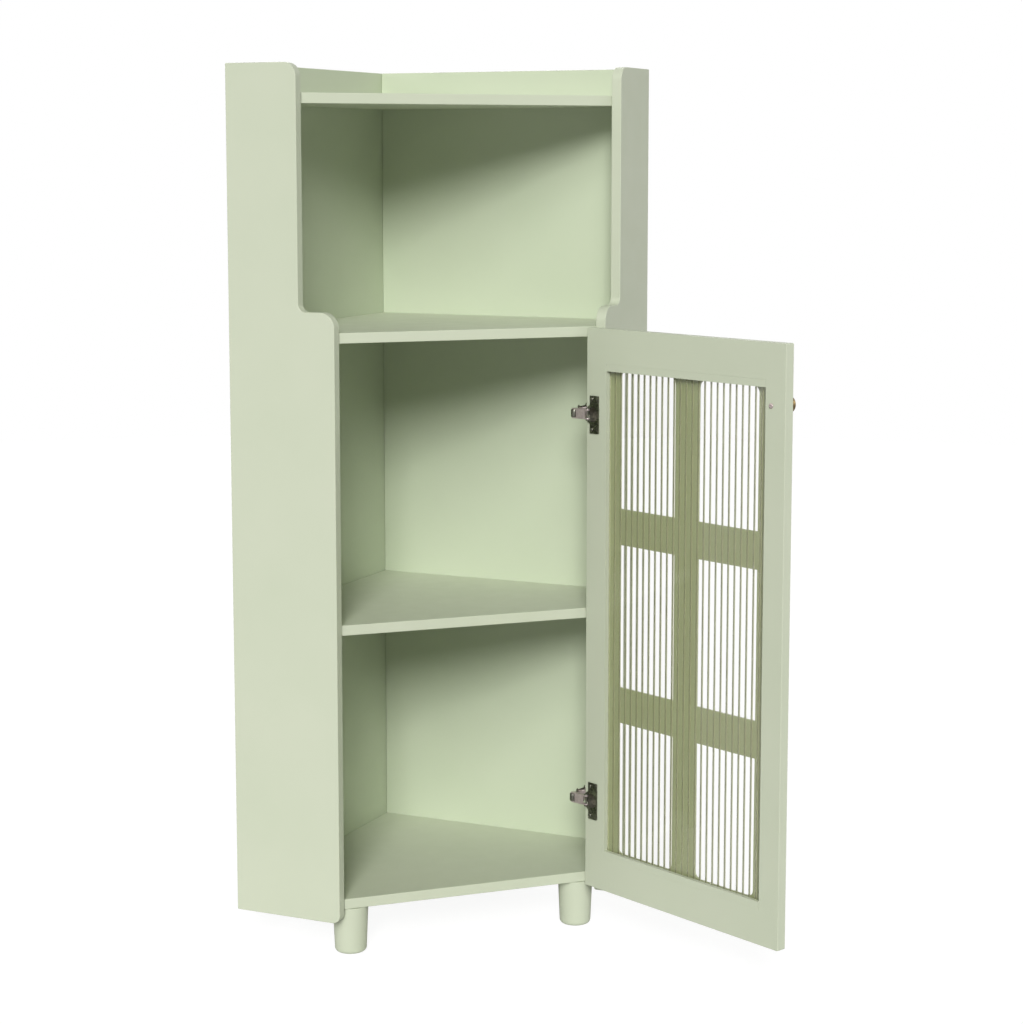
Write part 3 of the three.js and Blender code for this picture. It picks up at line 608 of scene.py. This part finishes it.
def legs():
    """A taper from a rounded foot to a flat top, turned about the leg's axis."""
    top = LEG_HEIGHT - GAP
    profile = smooth_profile(
        [(-0.01, 0), (LEG_FOOT_RADIUS, 0), (LEG_TOP_RADIUS, top), (-0.01, top)],
        [0, LEG_FOOT_ROUND, LEG_TOP_ROUND, 0],
    )
    front = ((WING_FACE + WING_DEPTH) * S - SHELF_SETBACK) - FRONT_LEG_FROM_FRONT
    aside = (WING_FACE - FRONT_LEG_FROM_WALL) * math.sqrt(2) - front
    places = {
        "front_left_leg": ROOM_CORNER + np.array([-aside, -front, 0]),
        "front_right_leg": ROOM_CORNER + np.array([aside, -front, 0]),
        "rear_leg": np.zeros(3),
    }
    for name, place in places.items():
        leg = turned(profile).placed([1, 0, 0], [0, 1, 0], [0, 0, 1], place)
        build(name + "_turned", leg, "cabinet", [name], PAINTED)


side_panels()
back_panels()
boards()
legs()


# The door stands open in the photograph.

WING_CORNER = plan_point(WING_DEPTH, WING_FACE)
ARM_PIN = WING_CORNER + ARM_PIN_ALONG * LEFT_WALL - ARM_PIN_OUT * RIGHT_WALL
CLOSED_CORNER = WING_CORNER + np.array([DOOR_OVERLAP, -DOOR_GAP, 0])
CLOSED_PIN = CLOSED_CORNER + np.array([-PIN_SETBACK, PIN_RISE, 0])
OPEN_LINK = turned_about_z(CLOSED_PIN - ARM_PIN, -LINK_SWING)
OPEN_PIN = ARM_PIN + OPEN_LINK
DOOR_CORNER = OPEN_PIN + turned_about_z(CLOSED_CORNER - CLOSED_PIN, DOOR_ANGLE) + LEG_HEIGHT * UP
DOOR_X = turned_about_z(np.array([1.0, 0, 0]), DOOR_ANGLE - math.pi)
DOOR_OUT = turned_about_z(DOOR_X, math.pi / 2)
DOOR_WIDTH = (WING_FACE - WING_DEPTH) * math.sqrt(2) + 2 * DOOR_OVERLAP
DOOR_HEIGHT = DOOR_TOP - LEG_HEIGHT
POCKET = DOOR_THICKNESS - WINDOW_LAYER
OPENING_LEFT, OPENING_RIGHT = HINGE_STILE, DOOR_WIDTH - LOCK_STILE
HINGES = {"upper": DOOR_HEIGHT - UPPER_HINGE_DROP, "lower": LOWER_HINGE_RISE}


def on_door(surface, origin=(0, 0, 0)):
    """Drawn in x from the hinge edge, y up and z towards the inner face.

    The origin is given as x, depth and height.
    """
    x, depth, height = origin
    place = DOOR_CORNER + x * DOOR_X + depth * DOOR_OUT + height * UP
    return surface.placed(DOOR_X, UP, -DOOR_OUT, place)


def windows():
    """Two columns by three rows. Only the corners at the door's top and bottom are rounded."""
    middle = (OPENING_LEFT + OPENING_RIGHT) / 2
    centre = DOOR_HEIGHT / 2 - WINDOW_DROP
    half = (DOOR_HEIGHT - 2 * RAIL - 2 * CROSS_BAR) * MIDDLE_WINDOW_SHARE / 2
    columns = [
        (OPENING_LEFT + PANE_COVER, middle - UPRIGHT_BAR / 2),
        (middle + UPRIGHT_BAR / 2, OPENING_RIGHT - PANE_COVER),
    ]
    rows = [
        (RAIL, centre - half - CROSS_BAR),
        (centre - half, centre + half),
        (centre + half + CROSS_BAR, DOOR_HEIGHT - RAIL),
    ]
    for x0, x1 in columns:
        for row, (z0, z1) in enumerate(rows):
            low = WINDOW_ROUND if row == 0 else WINDOW_CORNER
            high = WINDOW_ROUND if row == 2 else WINDOW_CORNER
            yield rectangle(x0, z0, x1, z1, [low, low, high, high])


def door_panel():
    """One board with three levels: inner face, floor of the glass pocket, outer face."""
    made = Surface()
    eased = [BOARD_CORNER] * 4
    rim = rectangle(0, 0, DOOR_WIDTH - LOCK_TRIM, DOOR_HEIGHT, eased, steps=4)
    pocket = rectangle(
        OPENING_LEFT,
        RAIL - STRIP_HEIGHT,
        OPENING_RIGHT,
        DOOR_HEIGHT - RAIL + STRIP_HEIGHT,
        [WINDOW_CORNER] * 4,
        steps=3,
    )
    outer, inner = wall(made, rim, -DOOR_THICKNESS, 0, DOOR_EASE, DOOR_EASE)
    floor, mouth = wall(made, hole(pocket), -POCKET, 0, 0, SHARP_EASE, steps=2)
    eases = WINDOW_OUTER_EASE, WINDOW_INNER_EASE
    outer_holes, inner_holes = zip(
        *(wall(made, hole(w), -DOOR_THICKNESS, -POCKET, *eases, steps=3) for w in windows())
    )
    bores = [
        wall(made, hole(circle(CUP_FROM_EDGE, height, CUP_BORE_RADIUS)), -CUP_BORE_DEPTH, 0)
        for height in HINGES.values()
    ]
    inward = np.array([0, 0, 1.0])
    made.cap([inner, mouth, *(b[1] for b in bores)], inward)
    made.cap([floor[::-1], *inner_holes], inward)
    made.cap([outer, *outer_holes], -inward)
    for bore in bores:
        made.cap([bore[0][::-1]], inward)
    build("door_frame", on_door(made), "door", ["door_panel"], PAINTED)


GLASS_THICKNESS = 0.0039
FLUTE_WIDTH = 0.012
FLUTE_HEIGHT = 0.0022
FLUTE_CREST = 0.64
# The grooves' grey-olive painted reflection runs between these two shares of each flute.
PAINTED_REFLECTION_FROM = 0.70
PAINTED_REFLECTION_TO = 0.08


def flute_section(steps=40):
    """Width share, height and slope of one flute, which leans towards the lock stile.

    The share t is first bent so that the crest falls at FLUTE_CREST instead of a half:
    a = t / (2 crest) before it, a half and (t - crest) / (2 (1 - crest)) after it. The
    height is then FLUTE_HEIGHT * sin(pi a), so flutes meet in sharp grooves.
    """
    rise = np.linspace(0, 0.5, steps // 2 + 1)
    fall = np.linspace(0.5, 1, steps // 2 + 1)[1:]
    a = np.concatenate([rise, fall])
    fall_share = FLUTE_CREST + (fall - 0.5) * 2 * (1 - FLUTE_CREST)
    t = np.concatenate([rise * 2 * FLUTE_CREST, fall_share])
    rate = np.where(a <= 0.5, 0.5 / FLUTE_CREST, 0.5 / (1 - FLUTE_CREST))
    slope = FLUTE_HEIGHT * math.pi * np.cos(math.pi * a) * rate
    return t, FLUTE_HEIGHT * np.sin(math.pi * a), slope


def fluted_glass():
    """A flat back towards the bays and flutes towards the room, run up the door's height.

    The painted reflection on the grooves covers each flute from PAINTED_REFLECTION_FROM and the
    next up to PAINTED_REFLECTION_TO.
    """
    x0, x1 = OPENING_LEFT + GAP, OPENING_RIGHT - GAP
    z0 = RAIL - STRIP_HEIGHT + GAP
    z1 = DOOR_HEIGHT - z0
    crest = -(POCKET - GAP)
    back = crest + GLASS_THICKNESS
    root = crest + FLUTE_HEIGHT
    flutes = round((x1 - x0) / FLUTE_WIDTH)
    pitch = (x1 - x0) / flutes
    t, height, slope = flute_section()
    x = x0 + pitch * (np.arange(flutes)[:, None] + t)
    z = np.broadcast_to(root - height, x.shape)
    lean = np.broadcast_to(-slope / pitch, x.shape)
    n = np.stack([lean, np.zeros_like(x), np.full(x.shape, -1.0)], 2)
    n /= np.linalg.norm(n, axis=2)[:, :, None]
    made = Surface()
    ends = lambda k: [np.stack([x[k], np.full(len(t), y), z[k]], 1) for y in (z1, z0)]
    for flute in range(flutes):
        made.grid(np.stack(ends(flute)), np.stack([n[flute], n[flute]]), around=False)
    flat_x, flat_z = x.ravel(), z.ravel()
    level = lambda y, depth: np.stack([flat_x, np.full(len(flat_x), y), depth], 1)
    high = np.full(len(flat_x), back)
    for y, way in ((z0, -1.0), (z1, 1.0)):
        pair = [level(y, flat_z), level(y, high)]
        pair = np.stack(pair if way < 0 else pair[::-1])
        made.grid(pair, np.broadcast_to([0, way, 0], pair.shape), around=False)
    inner = np.stack([level(z0, high), level(z1, high)])
    made.grid(inner, np.broadcast_to([0, 0, 1.0], inner.shape), around=False)
    for edge, way in ((x0, -1.0), (x1, 1.0)):
        quad = np.array([[edge, z0, root], [edge, z0, back], [edge, z1, back], [edge, z1, root]])
        made.add([quad if way < 0 else quad[::-1]], [np.broadcast_to([way, 0, 0], (4, 3))])
    pane = build("glass_pane", on_door(made), "door", ["fluted_glass"], GLASS)
    # Faces near each groove take the painted reflection, a grey-olive look for the dark lines in
    # the glass.
    pane.data.materials.append(GROOVE_PAINTED_REFLECTION)
    in_painted_reflection = np.tile((t[:-1] > PAINTED_REFLECTION_FROM) | (t[:-1] < PAINTED_REFLECTION_TO), flutes)
    slots = np.zeros(len(pane.data.polygons), np.int32)
    slots[: len(in_painted_reflection)] = in_painted_reflection
    pane.data.polygons.foreach_set("material_index", slots)


def glass_strips():
    """Two slim slabs fill the pocket's ends, above and below the cross members' glass."""
    for name, low in (
        ("lower_glass_strip", RAIL - STRIP_HEIGHT),
        ("upper_glass_strip", DOOR_HEIGHT - RAIL),
    ):
        foot, head = low + STRIP_FIT, low + STRIP_HEIGHT - STRIP_FIT
        corners = [SLIM_CORNER] * 4
        outline = rectangle(OPENING_LEFT + GAP, foot, OPENING_RIGHT - GAP, head, corners, steps=2)
        strip = slab(outline, STRIP_THICKNESS, SHARP_EASE, steps=2)
        on_door(strip, (0, STRIP_THICKNESS, 0))
        build(name + "_dressed", strip, "door", [name], PAINTED)


def knob():
    """The knob swells from a narrow neck to a wide rim with a low dome.

    Its profile is a radius and a distance from the door's inner face, and it is turned
    about an axis square to the door.
    """
    base = DOOR_THICKNESS + GAP
    profile = smooth_profile(
        [
            (-0.02, base),
            (KNOB_BASE_RADIUS, base),
            (KNOB_BASE_RADIUS, base + 0.0015),
            (KNOB_NECK_RADIUS, base + 0.0030),
            (KNOB_NECK_RADIUS, base + 0.0090),
            (KNOB_RIM_RADIUS, base + 0.0152),
            (KNOB_RIM_RADIUS, base + 0.0199),
            (KNOB_DOME_RADIUS, base + 0.0221),
            (-0.02, base + 0.0234),
        ],
        [0, 0.0004, 0.0008, 0.002, 0.004, 0.0012, 0.0010, 0.004, 0],
    )
    along, height = DOOR_WIDTH - KNOB_FROM_EDGE, DOOR_HEIGHT - KNOB_BELOW_TOP
    place = DOOR_CORNER + along * DOOR_X + height * UP
    made = turned(profile, steps=48).placed(DOOR_X, -UP, DOOR_OUT, place)
    build("brass_knob", made, "door", ["knob"], BRASS)


def node_corners(name):
    """The corners of a carried-over solid, in the scene's own place."""
    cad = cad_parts[name]
    flat = np.empty(len(cad.data.vertices) * 3)
    cad.data.vertices.foreach_get("co", flat)
    turn = np.array(cad.matrix_world)
    return flat.reshape(-1, 3) @ turn[:3, :3].T + turn[:3, 3]


def screw_surface(radius, head, shank, length):
    """A screw on the z axis: a low dome with a cross recess, a rim, and a plain shank.

    The dome is z = rim + (head - rim) * sqrt(1 - (r / radius)^4), with the rim a third of
    the head's height. The cross is cut into it to CROSS_DEPTH of the head's height: two
    bars of half-width CROSS_WIDTH and half-length CROSS_LENGTH of the radius, whose outer
    two fifths slope along half a cosine. The dome's normals come from its slopes along x
    and y.
    """
    rim = head / 3
    r = radius * np.sin(np.linspace(math.pi / 2, 0, SCREW_RINGS))[:, None]
    t = np.linspace(0, 2 * math.pi, SCREW_SIDES, endpoint=False)[None]
    x, y = r * np.cos(t), r * np.sin(t)

    def inside(v, half):
        """1 near the middle of a bar, 0 from its end on."""
        share = (np.abs(v) / radius - half * 0.6) / (half * 0.4)
        return 0.5 + 0.5 * np.cos(math.pi * np.clip(share, 0, 1))

    def height(x, y):
        """The dome less the cross."""
        dome = rim + (head - rim) * np.sqrt(np.clip(1 - ((x * x + y * y) / radius**2) ** 2, 0, 1))
        along_y = inside(x, CROSS_WIDTH) * inside(y, CROSS_LENGTH)
        along_x = inside(y, CROSS_WIDTH) * inside(x, CROSS_LENGTH)
        return dome - CROSS_DEPTH * head * np.maximum(along_y, along_x)

    step = radius * 1e-3
    slope_x = (height(x + step, y) - height(x - step, y)) / (2 * step)
    slope_y = (height(x, y + step) - height(x, y - step)) / (2 * step)
    top = np.stack([x, y, height(x, y)], 2)
    top_n = np.stack([-slope_x, -slope_y, np.ones_like(x)], 2)
    spin = np.concatenate([np.cos(t), np.sin(t), np.zeros_like(t)]).T
    ring = lambda r, z: spin * r + np.array([0, 0, z])
    down = np.broadcast_to([0, 0, -1.0], spin.shape)
    made = Surface()
    made.grid(top, top_n / np.linalg.norm(top_n, axis=2)[:, :, None])
    made.grid(np.stack([ring(radius, 0), ring(radius, rim)]), np.stack([spin, spin]))
    made.grid(np.stack([ring(shank, 0), ring(radius, 0)]), np.stack([down, down]))
    made.grid(np.stack([ring(shank, -length), ring(shank, 0)]), np.stack([spin, spin]))
    made.grid(np.stack([ring(0, -length), ring(shank, -length)]), np.stack([down, down]))
    return made


def screws():
    """Each screw takes its place, head radius and length from its solid."""
    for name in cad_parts:
        if "screw" not in name:
            continue
        on_plate = "plate" in name
        out = -RIGHT_WALL if on_plate else -DOOR_OUT
        side = LEFT_WALL if on_plate else DOOR_X
        reach = node_corners(name) @ np.array([side, UP, out]).T
        low, high = reach.min(axis=0), reach.max(axis=0)
        head = KNOB_SCREW_HEAD if name == "knob_screw" else SCREW_HEAD
        radius = (high[1] - low[1]) / 2
        made = screw_surface(radius, head, SCREW_SHANK, high[2] - low[2] - head)
        place = (low[0] + high[0]) / 2 * side + (low[1] + high[1]) / 2 * UP + (high[2] - head) * out
        made.placed(side, np.cross(out, side), out, place)
        body = "cabinet" if on_plate else "door"
        look = BRIGHT_METAL if name == "knob_screw" else DARK_METAL
        build(name + "_crossed", made, body, [name], look)


def hinge_level(name):
    """The height above the floor of the hinge that a piece belongs to."""
    return LEG_HEIGHT + HINGES[name.split("_")[0]]


def second_finish(cad, chosen, material):
    """The chosen faces of a solid take another metal."""
    cad.data.materials.append(material)
    cad.data.polygons.foreach_set("material_index", np.asarray(chosen, np.int32))


def face_centres(cad):
    """The middle of each face of a carried-over solid."""
    centres = np.empty(len(cad.data.polygons) * 3)
    cad.data.polygons.foreach_get("center", centres)
    turn = np.array(cad.matrix_world)
    return centres.reshape(-1, 3) @ turn[:3, :3].T + turn[:3, 3]


def arm_line():
    """The arm's pin in plan and the two ways from it: back along the arm, and to its side."""
    out = -RIGHT_WALL
    corner = plan_point(WING_DEPTH, WING_FACE)
    pin = corner + ARM_PIN_ALONG * LEFT_WALL + ARM_PIN_OUT * out
    rear = corner + ARM_KNEE[0] * LEFT_WALL + ARM_KNEE[1] * out
    back = (rear - pin) / np.linalg.norm(rear - pin)
    return pin, back, np.cross(back, UP)


def closing_springs():
    """A bent tab of spring sheet stands on each arm, with a small tooth under it.

    Their outlines are the distance from the arm's pin and the height from its middle.
    """
    pin, back, side = arm_line()
    foot = HALF_TONGUE + SPRING_FIT
    step = HALF_ARM + SPRING_FIT
    tab = [
        (0.0078, foot),
        (0.0136, foot),
        (0.0142, step),
        (0.0262, step),
        (0.0262, 0.0128),
        (0.0247, 0.0128),
        (0.0236, 0.0098),
        (0.0112, 0.0092),
        (0.0106, 0.0112),
        (0.0078, 0.0104),
    ]
    tooth = [(0.0205, -0.0110), (0.0240, -0.0110), (0.0252, -step), (0.0205, -step)]
    for which in HINGES:
        origin = pin + hinge_level(which) * UP - SPRING_SHEET / 2 * side
        made = Surface()
        for corners in (tab, tooth):
            outline = rounded_outline(corners, [SLIM_CORNER] * len(corners), steps=4)
            sheet = slab(outline, SPRING_SHEET, SPRING_EASE, steps=2)
            made.joined(sheet.placed(back, UP, side, origin))
        build(which + "_closing_spring", made, "cabinet", [], DARK_METAL)


def hinge_metal():
    """Pressed sheet has soft edges, so each hinge solid gets a small round on them.

    The arm's nose is darker than its face, as painted shade on its curved end, and the cup's hollow
    lighter than its flange, as a painted reflection.
    """
    pin = arm_line()[0]
    for name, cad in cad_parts.items():
        if "hinge" not in name:
            continue
        centres = face_centres(cad)
        if name.endswith("arm"):
            from_pin = np.linalg.norm((centres - pin)[:, :2], axis=1)
            # Painted shade: the nose takes the dark steel to stand in for the shade and dark
            # reflection on its curved end.
            second_finish(cad, from_pin < ARM_NOSE, DARK_METAL)
        if name.endswith("cup"):
            axis = DOOR_CORNER + CUP_FROM_EDGE * DOOR_X
            axis = axis + (hinge_level(name) - axis[2]) * UP
            off = centres - axis
            depth = off @ DOOR_OUT
            from_axis = np.linalg.norm(off - depth[:, None] * DOOR_OUT, axis=1)
            # Painted reflection: the hollow takes a lighter metal to stand in for the lighter
            # reflection seen inside it.
            second_finish(cad, (from_axis < CUP_HOLLOW) & (depth > 0), CUP_HOLLOW_PAINTED_REFLECTION)
        cad.data.polygons.foreach_set("use_smooth", np.ones(len(cad.data.polygons), bool))
        weld = cad.modifiers.new("weld", "WELD")
        weld.merge_threshold = WELD_REACH
        bevel = cad.modifiers.new("soft_edges", "BEVEL")
        bevel.width = METAL_EASE
        bevel.segments = 2
        bevel.limit_method = "ANGLE"
        bevel.angle_limit = METAL_EDGE_TURN
        bevel.harden_normals = True


door_panel()
fluted_glass()
glass_strips()
knob()
screws()
closing_springs()
hinge_metal()


# Floor, lamps and camera.


def world_light():
    """White to the camera, to gloss and through glass; the lamps alone light the object."""
    world = bpy.data.worlds.new("studio")
    bpy.context.scene.world = world
    world.use_nodes = True
    tree = world.node_tree
    tree.nodes.clear()
    out = tree.nodes.new("ShaderNodeOutputWorld")
    path = node(tree, "ShaderNodeLightPath").outputs
    seen = either(tree, path["Is Camera Ray"], path["Is Transmission Ray"])
    seen = either(tree, seen, path["Is Glossy Ray"])
    dark = node(tree, "ShaderNodeBackground", {"Color": (1, 1, 1, 1), "Strength": 0.0})
    white = node(tree, "ShaderNodeBackground", {"Color": (1, 1, 1, 1), "Strength": 1.0})
    mix = node(tree, "ShaderNodeMixShader", {0: seen, 1: dark.outputs[0], 2: white.outputs[0]})
    tree.links.new(mix.outputs[0], out.inputs["Surface"])


def distant_lamp(name, azimuth, elevation, width, strength):
    """A far soft lamp. Azimuth turns from the front towards the left, all angles in degrees."""
    lamp = bpy.data.lights.new(name, "SUN")
    lamp.energy = strength
    lamp.angle = math.radians(width)
    thing = bpy.data.objects.new(name, lamp)
    bpy.context.scene.collection.objects.link(thing)
    t, e = math.radians(azimuth), math.radians(elevation)
    way = Vector((math.sin(t) * math.cos(e), math.cos(t) * math.cos(e), -math.sin(e)))
    thing.rotation_euler = way.to_track_quat("-Z", "Y").to_euler()


FLOOR_RADIUS = 6.0
FLOOR_LEVEL = -0.0005
FLOOR_SIDES = 64
FLOOR_GLOW = 0.91
FLOOR_SHADE_LIT = (0.8, 0.8, 0.8, 1)
FLOOR_SHADE_SHOWN = (0.16, 0.16, 0.16, 1)


def floor_plane():
    """A wide round floor: rim = radius * (cos t, sin t), a little below the feet.

    The glow and the lamps on its dark shown shade add up to white to the camera wherever
    no shadow falls. To the object it is plain pale ground.
    """
    t = np.linspace(0, 2 * math.pi, FLOOR_SIDES, endpoint=False)
    level = np.full(FLOOR_SIDES, FLOOR_LEVEL)
    rim = np.stack([FLOOR_RADIUS * np.cos(t), FLOOR_RADIUS * np.sin(t), level], 1)
    mesh = bpy.data.meshes.new("floor")
    mesh.from_pydata(rim.tolist(), [], [list(range(FLOOR_SIDES))])
    thing = bpy.data.objects.new("floor", mesh)
    bpy.context.scene.collection.objects.link(thing)
    material, tree, out = new_material("floor")
    path = node(tree, "ShaderNodeLightPath").outputs
    seen = either(tree, path["Is Camera Ray"], path["Is Transmission Ray"])
    lit = node(tree, "ShaderNodeBsdfDiffuse", {"Color": FLOOR_SHADE_LIT})
    shown = node(tree, "ShaderNodeBsdfDiffuse", {"Color": FLOOR_SHADE_SHOWN})
    glow = node(tree, "ShaderNodeEmission", {"Color": (1, 1, 1, 1), "Strength": FLOOR_GLOW})
    both = node(tree, "ShaderNodeAddShader", {0: shown.outputs[0], 1: glow.outputs[0]})
    mix = node(tree, "ShaderNodeMixShader", {0: seen, 1: lit.outputs[0], 2: both.outputs[0]})
    tree.links.new(mix.outputs[0], out.inputs["Surface"])
    mesh.materials.append(material)


CAMERA_PLACE = (-1.10313, -3.45547, 1.14513)
CAMERA_PITCH = math.radians(7.19896)
CAMERA_TURN = math.radians(-20.67739)
CAMERA_LENS = 80.8975
CAMERA_SENSOR = 36.0
CAMERA_SHIFT = -0.06


def photo_camera():
    """The camera's place, turn and lens come from a fit to measured corners of the photograph."""
    data = bpy.data.cameras.new("camera")
    data.lens = CAMERA_LENS
    data.sensor_width = CAMERA_SENSOR
    data.shift_y = CAMERA_SHIFT
    camera = bpy.data.objects.new("camera", data)
    bpy.context.scene.collection.objects.link(camera)
    camera.location = CAMERA_PLACE
    camera.rotation_euler = (math.pi / 2 - CAMERA_PITCH, 0, CAMERA_TURN)
    bpy.context.scene.camera = camera


world_light()
distant_lamp("key", azimuth=24, elevation=24, width=16, strength=2.12)
distant_lamp("high_key", azimuth=22, elevation=38, width=22, strength=1.25)
distant_lamp("right_fill", azimuth=-62, elevation=20, width=20, strength=0.53)
distant_lamp("left_fill", azimuth=98, elevation=18, width=20, strength=0.42)
distant_lamp("back_fill", azimuth=180, elevation=30, width=40, strength=1.0)
floor_plane()
photo_camera()

bpy.context.scene.view_settings.view_transform = "Standard"
